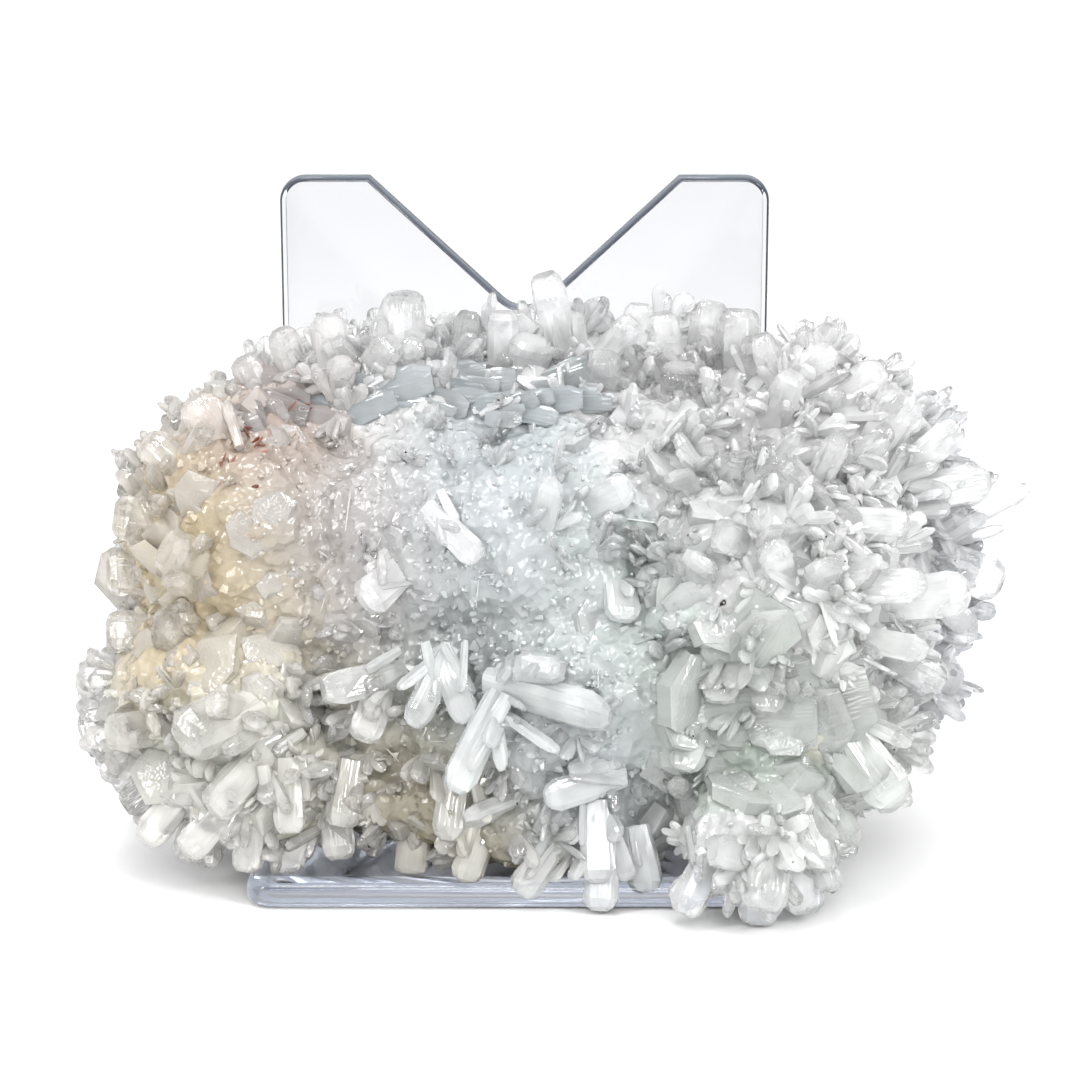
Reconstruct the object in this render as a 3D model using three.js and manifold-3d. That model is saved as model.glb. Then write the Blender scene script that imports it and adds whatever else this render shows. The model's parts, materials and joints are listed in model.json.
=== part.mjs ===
// Apophyllite cluster leaning on a clear acrylic display stand.
// Millimetres. +X is to the viewer's right, +Y away from the viewer, +Z up.
// The origin is the centre of the stand's underside.
import * as THREE from 'three';
import { mergeVertices } from 'three/addons/utils/BufferGeometryUtils.js';
import Module from 'manifold-3d';

const wasm = await Module();
wasm.setup();

// ---- Driving dimensions -------------------------------------------------------------------

const STAND = {
  width: 76,
  depth: 70,
  height: 95,
  sheet: 3.4,
  bendRadius: 5.5,     // outside of the bend between the base and the back
  cornerRadius: 4,     // top corners of the back and front corners of the base
  notchHalfWidth: 24,  // where the notch meets the top edge
  notchDepth: 22,
  notchRadius: 5,      // round bottom of the notch
};
const GAP = 0.3;       // clearance between the specimen and the sheet it rests on
const FLOOR = 0.05;    // the lowest crystal tip stands this far above the stand's underside
const PAST = 1;        // how far a shape that cuts the sheet runs past its edges
const FAR = 200;       // half the width of the block that cuts off what is under the floor

// The intergrown mass that the crystals stand on, as overlapping lumps: centre, half sizes and
// how finely the surface is broken up.
const LUMPS = [
  { name: 'heart', at: [2, -4, 40], half: [46, 25, 29], detail: 3 },
  { name: 'left shoulder', at: [-37, -3, 44], half: [20, 21, 23], detail: 2 },
  { name: 'left foot', at: [-42, -12, 24], half: [18, 18, 15], detail: 1 },
  { name: 'left toe', at: [-36, -22, 16], half: [15, 10, 9], detail: 1 },
  { name: 'left ridge', at: [-21, 3, 61], half: [21, 15, 13], detail: 1 },
  { name: 'top ridge', at: [8, 8, 60], half: [34, 15, 15], detail: 1 },
  { name: 'right shoulder', at: [38, 2, 52], half: [24, 19, 19], detail: 1 },
  { name: 'right flank', at: [43, -2, 35], half: [19, 21, 20], detail: 1 },
  { name: 'right bulge', at: [32, -18, 38], half: [22, 16, 20], detail: 1 },
  { name: 'belly', at: [8, -20, 25], half: [36, 16, 16], detail: 2 },
  { name: 'apron', at: [34, -20, 22], half: [17, 17, 15], detail: 1 },
  { name: 'hanging root', at: [30, -34, 12], half: [9, 9, 8], detail: 1 },
  { name: 'keel', at: [-5, -19, 14], half: [33, 13, 9], detail: 1 },
  { name: 'front foot', at: [6, -26, 10], half: [18, 9, 7], detail: 1 },
  { name: 'back', at: [0, 12, 36], half: [44, 17, 27], detail: 1 },
];
const MIDDLE = [2, -4, 38];     // the lumps' common middle
const LUMP_ROUGHNESS = 0.07;    // how far a lump's surface wanders, as a share of its size
const BURIED = 0.9;             // a point with less than this share of a lump's size is inside it
const EDGE_STEP = 0.02;         // how finely a foot beyond the edge is drawn in to it
const SEED = 11;                // starts the run of chance numbers

// Single crystals, each [x, z, clock, towards, length, width]. x and z are where its foot is
// on the front of the mass. clock is the way its tip points as seen from the front, 0 up and
// 90 right. towards is how far the tip leans to the viewer, in degrees. The last two are mm.
const TOP_CRYSTALS = [
  [-38, 67, 335, 10, 5, 6], [-33, 70, 345, 12, 6, 5.5], [-27, 71, 355, 8, 7, 6],
  [-20, 67, 40, 34, 6, 7], [-17, 72, 0, 6, 9, 8.5], [-9, 71, 12, 10, 7, 5],
  [-3, 70, 2, 8, 8, 6], [0, 65, 20, 38, 7, 8], [6, 72, 345, 12, 12, 6.5],
  [11, 71, 40, 12, 8, 5], [16, 71, 5, 6, 8, 6], [21, 70, 350, 12, 8, 6],
  [26, 71, 8, 4, 8, 6.5], [31, 70, 0, 6, 8, 8], [36, 68, 340, 10, 8, 5],
  [22, 63, 5, 42, 7, 7.5], [12, 63, 350, 42, 7, 6], [-25, 62, 10, 38, 6, 6],
  [35, 64, 20, 25, 8, 6],
];
const LEFT_CRYSTALS = [
  [-43, 62, 335, 8, 6, 7], [-49, 58, 315, 8, 5, 6.5], [-53, 50, 280, 8, 4.5, 8],
  [-55, 42, 268, 8, 4, 8], [-56, 34, 272, 10, 4, 7.5], [-59, 27, 268, 8, 4, 8],
  [-60, 20, 255, 8, 4, 9], [-56, 13, 240, 10, 5, 8], [-47, 36, 285, 52, 5, 7.5],
  [-53, 23, 275, 50, 5, 7], [-45, 46, 300, 46, 6, 8],
];
const LOWER_LEFT_CRYSTALS = [
  [-39, 26, 255, 38, 9, 10], [-33, 23, 250, 30, 7, 6], [-37, 19, 225, 30, 8, 7],
  [-46, 20, 184, 24, 7, 5.5], [-47, 14, 220, 14, 8, 6], [-41, 13, 222, 18, 8, 6],
  [-45, 10, 195, 6, 6, 6], [-32, 17, 176, 22, 7, 5.5], [-37, 11, 188, 14, 7, 5.5],
  [-31, 9, 200, 12, 7, 6], [-26, 11, 172, 16, 6, 6], [-51, 14, 235, 10, 6, 6],
  [-19, 31, 265, 30, 9, 6], [-20, 28, 200, 40, 6, 6], [-24, 16, 190, 24, 6, 6],
];
const CENTRE_CRYSTALS = [
  [-2, 31, 100, 22, 15, 7.5], [2, 33, 12, 68, 7, 9], [-4, 28, 207, 20, 12, 6],
  [-11, 33, 208, 26, 9, 5], [-10, 33, 158, 26, 8, 5], [-9, 17, 190, 22, 8, 6],
  [0, 15, 255, 24, 9, 6], [4, 14, 205, 16, 8, 5], [11, 18, 262, 26, 9, 5.5],
  [10, 12, 178, 20, 8, 6], [-6, 9, 200, 12, 6, 6], [11, 7, 184, 22, 8, 6.5],
  [3, 7, 215, 14, 6, 6], [3, 52, 8, 30, 8, 5], [-11, 52, 130, 30, 8, 5],
  [9, 54, 55, 32, 8, 6], [-15, 8, 186, 12, 6, 6], [16, 8, 170, 14, 6, 6],
  [13, 44, 170, 44, 6, 6], [-18, 44, 240, 48, 6, 7],
];
const FOOT_CRYSTALS = [
  [25, 9, 210, 22, 8, 6], [30, 10, 298, 36, 7, 6], [33, 12, 190, 30, 9, 8],
  [32, 7, 182, 2, 9.5, 7], [37, 9, 172, 6, 8, 7], [38, 14, 162, 24, 8, 7.5],
  [26, 7, 235, 8, 7, 6],
];
const LOWER_RIGHT_CRYSTALS = [
  [44, 24, 142, 12, 11, 11], [40, 15, 148, 10, 8, 8], [51, 33, 118, 16, 8, 7],
  [46, 37, 98, 22, 9, 5], [47, 36, 228, 30, 8, 5.5], [33, 34, 184, 40, 7, 6],
  [27, 33, 190, 48, 5, 6.5], [54, 22, 122, 4, 5, 8.5], [48, 17, 134, 6, 6, 8],
  [24, 26, 205, 30, 7, 6], [50, 41, 80, 24, 9, 6.5],
];
const RIGHT_CRYSTALS = [
  [37, 68, 50, 14, 9, 6.5], [42, 66, 60, 8, 10, 6.5], [47, 63, 78, 6, 9, 7],
  [49, 60, 30, 4, 9, 9], [53, 56, 48, 4, 11, 6], [54, 53, 78, 6, 12, 7],
  [57, 49, 44, 6, 11, 7], [58, 46, 62, 2, 16, 4], [58, 44, 112, 4, 11, 8.5],
  [58, 39, 130, 2, 7, 6], [60, 34, 98, 2, 5, 9], [58, 27, 108, 0, 5, 9],
  [40, 56, 20, 30, 10, 5], [44, 56, 38, 26, 10, 5], [39, 55, 314, 30, 10, 8],
  [38, 51, 270, 34, 8, 5], [44, 52, 88, 28, 9, 6], [35, 45, 340, 38, 9, 6],
  [41, 50, 125, 36, 9, 6.5], [40, 44, 2, 48, 8, 7], [43, 44, 80, 28, 12, 6],
  [49, 41, 75, 18, 12, 8], [46, 40, 275, 46, 7, 7], [28, 57, 20, 46, 7, 6.5],
  [23, 55, 330, 46, 7, 6], [30, 50, 300, 48, 8, 6], [22, 46, 40, 54, 6, 7],
];
const CRYSTALS = [
  ...TOP_CRYSTALS, ...LEFT_CRYSTALS, ...LOWER_LEFT_CRYSTALS, ...CENTRE_CRYSTALS,
  ...FOOT_CRYSTALS, ...LOWER_RIGHT_CRYSTALS, ...RIGHT_CRYSTALS,
];
const STOUT = 5.6;              // wider crystals have five sides, the others four
const SUNK = 3.2;               // how deep a crystal's foot is set into the mass

// The habit of a crystal: its thickness and its foot as shares of its width, and how far up it
// is widest as a share of its length.
const BLADE = { flatness: 0.65, foot: 0.8, shoulder: 0.8 };

// Thick tabular crystals on the lower right, each [x, z, clock, towards, length, width].
const PLATES = [
  [36, 28, 60, 22, 16, 13], [31, 31, 30, 28, 10, 11], [28, 22, 350, 34, 9, 9],
];
const PLATE = { flatness: 0.5, shoulder: 0.7, top: 0.55, spin: Math.PI / 4 };

// Crystals that cover the rest: how many on each lump, their length and width, the smallest and
// largest as shares of that, how far they lean and swing round at random, and the room that each
// leaves round the feet of the single ones.
const COVER = {
  perLump: 13, length: 5.6, width: 8, smallest: 0.7, largest: 1.3, lean: 0.5, swing: 6, clear: 7,
};
const BACK_COVER = 0.6;         // on the back and the fine-grained face they are shorter
const BACK_FROM = 12;           // the back starts this far behind the middle
const FINE_FACE = { x: [-34, 12], z: [34, 66] };

// ---- Small tools --------------------------------------------------------------------------

// A repeatable run of numbers from 0 to 1.
function chance(seed) {
  let state = seed;
  return () => {
    state = (state * 1664525 + 1013904223) % 4294967296;
    return state / 4294967296;
  };
}

// A closed three.js geometry as a manifold-3d solid, to join and cut with.
function toSolid(geometry) {
  const bare = geometry.clone();
  bare.deleteAttribute('normal');
  bare.deleteAttribute('uv');
  const merged = mergeVertices(bare, 1e-4);
  return new wasm.Manifold(new wasm.Mesh({
    numProp: 3,
    vertProperties: merged.attributes.position.array,
    triVerts: new Uint32Array(merged.index.array),
  }));
}

// A manifold-3d solid as a three.js geometry.
function toGeometry(solid) {
  const mesh = solid.getMesh();
  const geometry = new THREE.BufferGeometry();
  geometry.setAttribute('position', new THREE.BufferAttribute(mesh.vertProperties, 3));
  geometry.setIndex(new THREE.BufferAttribute(mesh.triVerts, 1));
  geometry.computeVertexNormals();
  return geometry;
}

// The outermost piece of a joined solid, without loose chips and sealed pockets.
function largestBody(solid) {
  const bodies = solid.decompose();
  return bodies.reduce((best, body) => (body.volume() > best.volume() ? body : best));
}

// A box between two corners.
function boxSolid(low, high) {
  const size = high.map((value, i) => value - low[i]);
  const box = new THREE.BoxGeometry(...size);
  box.translate(...low.map((value, i) => value + size[i] / 2));
  return toSolid(box);
}

// ---- The stand: one sheet, bent up at the back ----------------------------------------------

const FRONT = -STAND.depth / 2;
const BACK = STAND.depth / 2;

// The bent sheet seen from the side, drawn with Y across and Z up.
function sheetProfile() {
  const inner = STAND.bendRadius - STAND.sheet;
  const centreY = BACK - STAND.bendRadius;
  const centreZ = STAND.bendRadius;
  const profile = new THREE.Shape();
  profile.moveTo(FRONT, 0);
  profile.lineTo(centreY, 0);
  profile.absarc(centreY, centreZ, STAND.bendRadius, -Math.PI / 2, 0, false);
  profile.lineTo(BACK, STAND.height);
  profile.lineTo(BACK - STAND.sheet, STAND.height);
  profile.lineTo(BACK - STAND.sheet, centreZ);
  profile.absarc(centreY, centreZ, inner, 0, -Math.PI / 2, true);
  profile.lineTo(FRONT, STAND.sheet);
  profile.closePath();
  return profile;
}

// The outline of the back seen from the front, with its notch and round corners.
function backOutline() {
  const half = STAND.width / 2;
  const r = STAND.cornerRadius;
  const top = STAND.height;
  const slope = Math.atan2(STAND.notchDepth, STAND.notchHalfWidth);
  const notchCentreZ = top - STAND.notchDepth + STAND.notchRadius / Math.cos(slope);
  const outline = new THREE.Shape();
  outline.moveTo(-half, -PAST);
  outline.lineTo(half, -PAST);
  outline.lineTo(half, top - r);
  outline.absarc(half - r, top - r, r, 0, Math.PI / 2, false);
  outline.lineTo(STAND.notchHalfWidth, top);
  outline.absarc(
    0, notchCentreZ, STAND.notchRadius, slope - Math.PI / 2, -slope - Math.PI / 2, true);
  outline.lineTo(-STAND.notchHalfWidth, top);
  outline.lineTo(r - half, top);
  outline.absarc(r - half, top - r, r, Math.PI / 2, Math.PI, false);
  outline.closePath();
  return outline;
}

// The outline of the base seen from above, with round front corners.
function baseOutline() {
  const half = STAND.width / 2;
  const r = STAND.cornerRadius;
  const outline = new THREE.Shape();
  outline.moveTo(half, FRONT + r);
  outline.lineTo(half, BACK + PAST);
  outline.lineTo(-half, BACK + PAST);
  outline.lineTo(-half, FRONT + r);
  outline.absarc(r - half, FRONT + r, r, Math.PI, 1.5 * Math.PI, false);
  outline.lineTo(half - r, FRONT);
  outline.absarc(half - r, FRONT + r, r, -Math.PI / 2, 0, false);
  outline.closePath();
  return outline;
}

function makeStand() {
  const curveSegments = 8;
  const options = (depth) => ({ depth, bevelEnabled: false, curveSegments });
  // An extrusion runs along its own Z: these turn it so that it runs along X, Y and Z.
  const sheet = new THREE.ExtrudeGeometry(sheetProfile(), options(STAND.width));
  sheet.applyMatrix4(new THREE.Matrix4().makeBasis(
    new THREE.Vector3(0, 1, 0), new THREE.Vector3(0, 0, 1), new THREE.Vector3(1, 0, 0)));
  sheet.translate(-STAND.width / 2, 0, 0);
  const fromFront = new THREE.ExtrudeGeometry(backOutline(), options(STAND.depth + 2 * PAST));
  fromFront.rotateX(Math.PI / 2);
  fromFront.translate(0, BACK + PAST, 0);
  const fromAbove = new THREE.ExtrudeGeometry(baseOutline(), options(STAND.height + 2 * PAST));
  fromAbove.translate(0, 0, -PAST);
  return toSolid(sheet).intersect(toSolid(fromFront)).intersect(toSolid(fromAbove));
}

// ---- The specimen -------------------------------------------------------------------------

// How far along a line the last lump ends, or -1 where it meets none.
function reach(from, along) {
  let furthest = -1;
  for (const { at, half } of LUMPS) {
    const p = from.map((value, i) => (value - at[i]) / half[i]);
    const d = along.map((value, i) => value / half[i]);
    const a = d[0] ** 2 + d[1] ** 2 + d[2] ** 2;
    const b = p[0] * d[0] + p[1] * d[1] + p[2] * d[2];
    const c = p[0] ** 2 + p[1] ** 2 + p[2] ** 2 - 1;
    const inside = b * b - a * c;
    if (inside >= 0) furthest = Math.max(furthest, (Math.sqrt(inside) - b) / a);
  }
  return furthest;
}

// The point on the front of the mass at x, z. A foot beyond its edge is drawn in to the edge.
function frontPoint(x, z) {
  for (let share = 1; share > 0; share -= EDGE_STEP) {
    const px = MIDDLE[0] + (x - MIDDLE[0]) * share;
    const pz = MIDDLE[2] + (z - MIDDLE[2]) * share;
    const distance = reach([px, 0, pz], [0, -1, 0]);
    if (distance > -1) return new THREE.Vector3(px, -distance, pz);
  }
  return new THREE.Vector3(...MIDDLE);
}

// The way a tip points, from its clock angle and its lean towards the viewer, in degrees.
function pointing(clock, towards) {
  const turn = THREE.MathUtils.degToRad(clock);
  const lean = THREE.MathUtils.degToRad(towards);
  return new THREE.Vector3(
    Math.sin(turn) * Math.cos(lean), -Math.sin(lean), Math.cos(turn) * Math.cos(lean));
}

// One lump: a sphere at its size, with a surface that wanders in and out.
function lumpSolid({ at, half, detail }, random) {
  const sphere = new THREE.IcosahedronGeometry(1, detail);
  sphere.deleteAttribute('normal');
  sphere.deleteAttribute('uv');
  const ball = mergeVertices(sphere, 1e-4);
  const position = ball.attributes.position;
  for (let i = 0; i < position.count; i++) {
    const wander = 1 + LUMP_ROUGHNESS * (2 * random() - 1);
    position.setXYZ(i, ...['getX', 'getY', 'getZ'].map(
      (get, axis) => at[axis] + position[get](i) * half[axis] * wander));
  }
  return toSolid(ball);
}

// A profile turned into a crystal with flat sides, set into the mass with its tip pointing out.
function grownSolid(profile, sides, flatness, spin, foot, direction) {
  const body = new THREE.LatheGeometry(profile.map(([x, y]) => new THREE.Vector2(x, y)), sides);
  body.scale(1, 1, flatness);
  body.rotateY(spin);
  body.applyQuaternion(
    new THREE.Quaternion().setFromUnitVectors(new THREE.Vector3(0, 1, 0), direction));
  body.translate(...foot.clone().addScaledVector(direction, -SUNK).toArray());
  return toSolid(body);
}

// A bladed crystal: flat sides that swell a little, then facets that close to its tip.
function crystalSolid(foot, direction, length, width, spin) {
  const r = width / 2;
  const full = length + SUNK;
  const profile = [[0, 0], [BLADE.foot * r, 0], [r, BLADE.shoulder * full], [0, full]];
  const sides = width > STOUT ? 5 : 4;
  return grownSolid(profile, sides, BLADE.flatness, spin, foot, direction);
}

// A thick tabular crystal: a four-sided prism with its corners cut off.
function plateSolid(foot, direction, length, width) {
  const r = width / Math.SQRT2;
  const full = length + SUNK;
  const profile = [[0, 0], [r, 0], [r, PLATE.shoulder * full], [PLATE.top * r, full], [0, full]];
  return grownSolid(profile, 4, PLATE.flatness, PLATE.spin, foot, direction);
}

// The crystals that cover a lump, spread evenly by the golden angle, standing on its surface.
function coverLump(lump, random) {
  const golden = Math.PI * (3 - Math.sqrt(5));
  const made = [];
  for (let i = 0; i < COVER.perLump; i++) {
    const up = 1 - (2 * i + 1) / COVER.perLump;
    const round = Math.sqrt(1 - up * up);
    const turn = i * golden + COVER.swing * random();
    const unit = [round * Math.cos(turn), round * Math.sin(turn), up];
    const tilt = [random(), random(), random()].map((value) => COVER.lean * (2 * value - 1));
    const size = THREE.MathUtils.lerp(COVER.smallest, COVER.largest, random());
    const spin = Math.PI * random();
    const point = lump.at.map((value, axis) => value + unit[axis] * lump.half[axis]);
    if (buried(point) || crowded(point)) continue;
    const normal = new THREE.Vector3(...unit.map((value, axis) => value / lump.half[axis]));
    const direction = normal.normalize().add(new THREE.Vector3(...tilt)).normalize();
    const behind = point[1] > MIDDLE[1] + BACK_FROM;
    const low = behind || fineGrained(point) ? BACK_COVER : 1;
    made.push(crystalSolid(new THREE.Vector3(...point), direction,
      COVER.length * size * low, COVER.width * size, spin));
  }
  return made;
}

// True inside any lump, below its surface.
function buried(point) {
  return LUMPS.some(({ at, half }) => point.reduce(
    (sum, value, axis) => sum + ((value - at[axis]) / half[axis]) ** 2, 0) < BURIED);
}

const FEET = [...CRYSTALS, ...PLATES].map(([x, z]) => frontPoint(x, z));

// True close to the foot of a crystal that has a place of its own.
function crowded(point) {
  const here = new THREE.Vector3(...point);
  return FEET.some((foot) => foot.distanceTo(here) < COVER.clear);
}

// True on the fine-grained face in the middle of the front.
function fineGrained([x, y, z]) {
  const { x: [left, right], z: [low, high] } = FINE_FACE;
  return y < MIDDLE[1] && x > left && x < right && z > low && z < high;
}

function makeSpecimen() {
  const random = chance(SEED);
  let solid = LUMPS.map((lump) => lumpSolid(lump, random)).reduce((a, b) => a.add(b));
  const crystals = CRYSTALS.map(([x, z, clock, towards, length, width]) => crystalSolid(
    frontPoint(x, z), pointing(clock, towards), length, width, Math.PI * random()));
  const plates = PLATES.map(([x, z, clock, towards, length, width]) => plateSolid(
    frontPoint(x, z), pointing(clock, towards), length, width));
  const cover = LUMPS.flatMap((lump) => coverLump(lump, random));
  for (const piece of [...crystals, ...plates, ...cover]) solid = solid.add(piece);
  return largestBody(solid.subtract(standRoom()));
}

// The room that the stand and the floor take, with the clearance round the sheet.
function standRoom() {
  const half = STAND.width / 2 + GAP;
  const front = FRONT - GAP;
  const back = BACK - STAND.sheet - GAP;
  const sheet = boxSolid([-half, front, -FAR], [half, BACK, STAND.sheet + GAP]);
  const upright = boxSolid([-half, back, -FAR], [half, FAR, FAR]);
  const floor = boxSolid([-FAR, -FAR, -FAR], [FAR, FAR, FLOOR]);
  return sheet.add(upright).add(floor);
}

// ---- The model ----------------------------------------------------------------------------

const crystalFinish = new THREE.MeshStandardMaterial({
  color: 0xdfe5e0, roughness: 0.22, metalness: 0, flatShading: true,
});
const acrylicFinish = new THREE.MeshStandardMaterial({
  color: 0xeef1f6, roughness: 0.05, metalness: 0, transparent: true, opacity: 0.35,
});

const stand = new THREE.Mesh(toGeometry(makeStand()), acrylicFinish);
stand.name = 'display_stand';

const specimen = new THREE.Mesh(toGeometry(makeSpecimen()), crystalFinish);
specimen.name = 'crystal_cluster';

const model = new THREE.Group();
model.add(stand, specimen);

export default model;
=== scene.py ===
"""Looks of the apophyllite cluster and its acrylic display stand."""
import json
import math

import bpy
import numpy as np
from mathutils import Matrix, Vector

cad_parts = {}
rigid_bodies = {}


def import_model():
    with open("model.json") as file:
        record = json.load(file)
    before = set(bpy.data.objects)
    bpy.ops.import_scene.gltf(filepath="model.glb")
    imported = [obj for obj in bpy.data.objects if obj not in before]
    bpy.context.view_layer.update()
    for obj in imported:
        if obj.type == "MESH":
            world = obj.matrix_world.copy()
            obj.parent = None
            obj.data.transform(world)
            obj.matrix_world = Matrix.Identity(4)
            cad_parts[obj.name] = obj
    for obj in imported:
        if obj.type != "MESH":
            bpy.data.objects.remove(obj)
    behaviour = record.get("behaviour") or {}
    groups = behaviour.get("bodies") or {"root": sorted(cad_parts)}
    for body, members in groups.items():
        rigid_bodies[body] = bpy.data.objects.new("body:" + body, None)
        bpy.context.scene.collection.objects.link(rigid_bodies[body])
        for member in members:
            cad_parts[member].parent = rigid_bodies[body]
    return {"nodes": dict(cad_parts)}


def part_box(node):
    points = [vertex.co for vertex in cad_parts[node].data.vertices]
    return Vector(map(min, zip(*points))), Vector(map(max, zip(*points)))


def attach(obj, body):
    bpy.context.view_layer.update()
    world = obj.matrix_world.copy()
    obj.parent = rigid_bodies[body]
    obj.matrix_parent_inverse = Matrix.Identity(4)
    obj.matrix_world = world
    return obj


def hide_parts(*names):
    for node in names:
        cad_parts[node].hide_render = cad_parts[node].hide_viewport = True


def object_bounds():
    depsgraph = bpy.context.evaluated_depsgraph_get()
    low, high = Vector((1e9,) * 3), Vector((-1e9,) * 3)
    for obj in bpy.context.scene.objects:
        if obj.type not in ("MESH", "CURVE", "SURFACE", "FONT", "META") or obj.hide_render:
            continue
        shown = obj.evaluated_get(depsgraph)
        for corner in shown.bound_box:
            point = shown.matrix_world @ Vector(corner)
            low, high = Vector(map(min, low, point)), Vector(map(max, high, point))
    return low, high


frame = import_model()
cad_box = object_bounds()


# ---- Studio -----------------------------------------------------------------------------
# A camera on a tripod looks slightly down on the specimen. It stands on a white table under
# large soft lights, in a room with a white band at table height and a bright ceiling.

MM = 0.001
CAMERA_PLACE = (0.0024, -0.3583, 0.1202)  # m
CAMERA_TILT = 78  # degrees, where 90 looks level
LENS = 83.33  # mm, for a frame 36 mm wide

camera_data = bpy.data.cameras.new("camera")
camera_data.lens = LENS
camera_data.sensor_width = 36
camera_data.clip_start = 0.01
camera = bpy.data.objects.new("camera", camera_data)
camera.location = CAMERA_PLACE
camera.rotation_euler = (math.radians(CAMERA_TILT), 0, 0)
scene = bpy.context.scene
scene.collection.objects.link(camera)
scene.camera = camera
scene.view_settings.view_transform = "Standard"
scene.cycles.max_bounces = 24
scene.cycles.diffuse_bounces = 2
scene.cycles.glossy_bounces = 22  # the sheet's edges pass light on many times
scene.cycles.transmission_bounces = 7


def add_softbox(name, location, size, power, aim=(0, 0, 0.045)):
    """A soft light that faces the specimen. Places and sizes are in metres, power in watts."""
    data = bpy.data.lights.new(name, "AREA")
    data.shape = "RECTANGLE"
    data.size, data.size_y = size
    data.energy = power
    light = bpy.data.objects.new(name, data)
    light.location = location
    direction = Vector(aim) - Vector(location)
    light.rotation_euler = direction.to_track_quat("-Z", "Y").to_euler()
    scene.collection.objects.link(light)


add_softbox("overhead_softbox", (-0.1, -0.2, 0.75), (0.22, 0.16), 1.6)
add_softbox("front_softbox", (0.05, -0.65, 0.45), (0.3, 0.18), 1.4)
add_softbox("low_fill", (0.0, -0.8, 0.36), (0.7, 0.08), 1.2, aim=(0, -0.03, 0.015))
add_softbox("left_strip", (-0.45, -0.35, 0.35), (0.05, 0.3), 1.3)
add_softbox("right_strip", (0.45, -0.4, 0.35), (0.05, 0.3), 1.9)


def new_material(name, roughness):
    """A material with its main shader, and its nodes and links."""
    material = bpy.data.materials.new(name)
    material.use_nodes = True
    nodes = material.node_tree.nodes
    shader = nodes["Principled BSDF"]
    shader.inputs["Roughness"].default_value = roughness
    return material, shader, nodes, material.node_tree.links


def table_white():
    material, shader, _, _ = new_material("table_white", 0.7)
    shader.inputs["Base Color"].default_value = (0.93, 0.93, 0.93, 1)
    return material


TABLE_SIZE = 60  # m, so that its rim is never seen
TABLE_DROP = 0.3  # mm below the specimen

bpy.ops.mesh.primitive_plane_add(size=TABLE_SIZE, location=(0, 0, -TABLE_DROP * MM))
table_top = bpy.context.object
table_top.name = "table_top"
table_top.data.materials.append(table_white())

ROOM_LIGHT = 2.1
ROOM_GREYS = [(0.10, 0.50), (0.20, 0.30), (0.66, 0.32), (0.80, 0.80)]  # height and how light
room = bpy.data.worlds.new("room")
room.use_nodes = True
scene.world = room


def light_the_room():
    """A white band at table height, dimmer walls above it and a bright ceiling."""
    nodes = room.node_tree.nodes
    links = room.node_tree.links
    direction = nodes.new("ShaderNodeTexCoord")
    split = nodes.new("ShaderNodeSeparateXYZ")
    walls = nodes.new("ShaderNodeValToRGB")
    stops = walls.color_ramp.elements
    stops[0].position, stops[0].color = 0.0, (0.50, 0.50, 0.505, 1)
    stops[1].position, stops[1].color = 1.0, (0.80, 0.80, 0.80, 1)
    for height, grey in ROOM_GREYS:
        stop = stops.new(height)
        stop.color = (grey, grey, grey * 1.01, 1)
    links.new(direction.outputs["Generated"], split.inputs["Vector"])
    links.new(split.outputs["Z"], walls.inputs["Fac"])
    links.new(walls.outputs["Color"], nodes["Background"].inputs["Color"])
    nodes["Background"].inputs["Strength"].default_value = ROOM_LIGHT


light_the_room()


# ---- Display stand ------------------------------------------------------------------------
# One sheet of clear acrylic, heat-bent to carry the specimen, with a V notch in its back.
# The edges are flame polished, so they are slightly round; their grey-blue look along the sheet is a
# painted reflection, a bluer tint given to the edge faces.

POLISHED_EDGE = 1.0  # mm
EDGE_BAND_PLACE = 1  # the place of the edge's material, after that of the flat sides
ACRYLIC_TINT = (0.79, 0.81, 0.845, 1)
ACRYLIC_DEPTH = 25  # how much light the tint takes, per metre


def select_only(piece):
    """Selects this piece alone and makes it the active one."""
    bpy.ops.object.select_all(action="DESELECT")
    piece.select_set(True)
    bpy.context.view_layer.objects.active = piece


def sheet_from_frame():
    """A merged copy of the stand's solid, as a new piece."""
    mesh = frame["nodes"]["display_stand"].data.copy()
    mesh.materials.clear()
    piece = bpy.data.objects.new("acrylic_stand", mesh)
    scene.collection.objects.link(piece)
    select_only(piece)
    bpy.ops.object.mode_set(mode="EDIT")
    bpy.ops.mesh.select_all(action="SELECT")
    bpy.ops.mesh.remove_doubles(threshold=0.01 * MM)
    bpy.ops.mesh.dissolve_limited(angle_limit=math.radians(0.5))
    bpy.ops.mesh.normals_make_consistent(inside=False)
    bpy.ops.object.mode_set(mode="OBJECT")
    return piece


def acrylic(name, colour):
    """See-through acrylic. Thick stretches of it look grey-blue."""
    material, shader, nodes, links = new_material(name, 0.03)
    shader.inputs["Base Color"].default_value = (*colour, 1)
    shader.inputs["IOR"].default_value = 1.49
    shader.inputs["Transmission Weight"].default_value = 1.0
    absorb = nodes.new("ShaderNodeVolumeAbsorption")
    absorb.inputs["Color"].default_value = ACRYLIC_TINT
    absorb.inputs["Density"].default_value = ACRYLIC_DEPTH
    links.new(absorb.outputs["Volume"], nodes["Material Output"].inputs["Volume"])
    return material


stand = sheet_from_frame()
edge_round = stand.modifiers.new("polished_edges", "BEVEL")
edge_round.width = POLISHED_EDGE * MM
edge_round.segments = 3
edge_round.limit_method = "ANGLE"
edge_round.angle_limit = math.radians(50)
edge_round.material = EDGE_BAND_PLACE
stand.data.materials.append(acrylic("clear_acrylic", (0.78, 0.785, 0.80)))
# Painted reflection: the edge faces get a bluer tint of their own for the grey-blue band along the
# sheet.
stand.data.materials.append(acrylic("acrylic_edge_painted_band", (0.90, 0.915, 0.95)))
bpy.ops.object.modifier_apply(modifier=edge_round.name)
bpy.ops.object.shade_smooth_by_angle(angle=math.radians(40))
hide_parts("display_stand")
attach(stand, "root")


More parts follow.
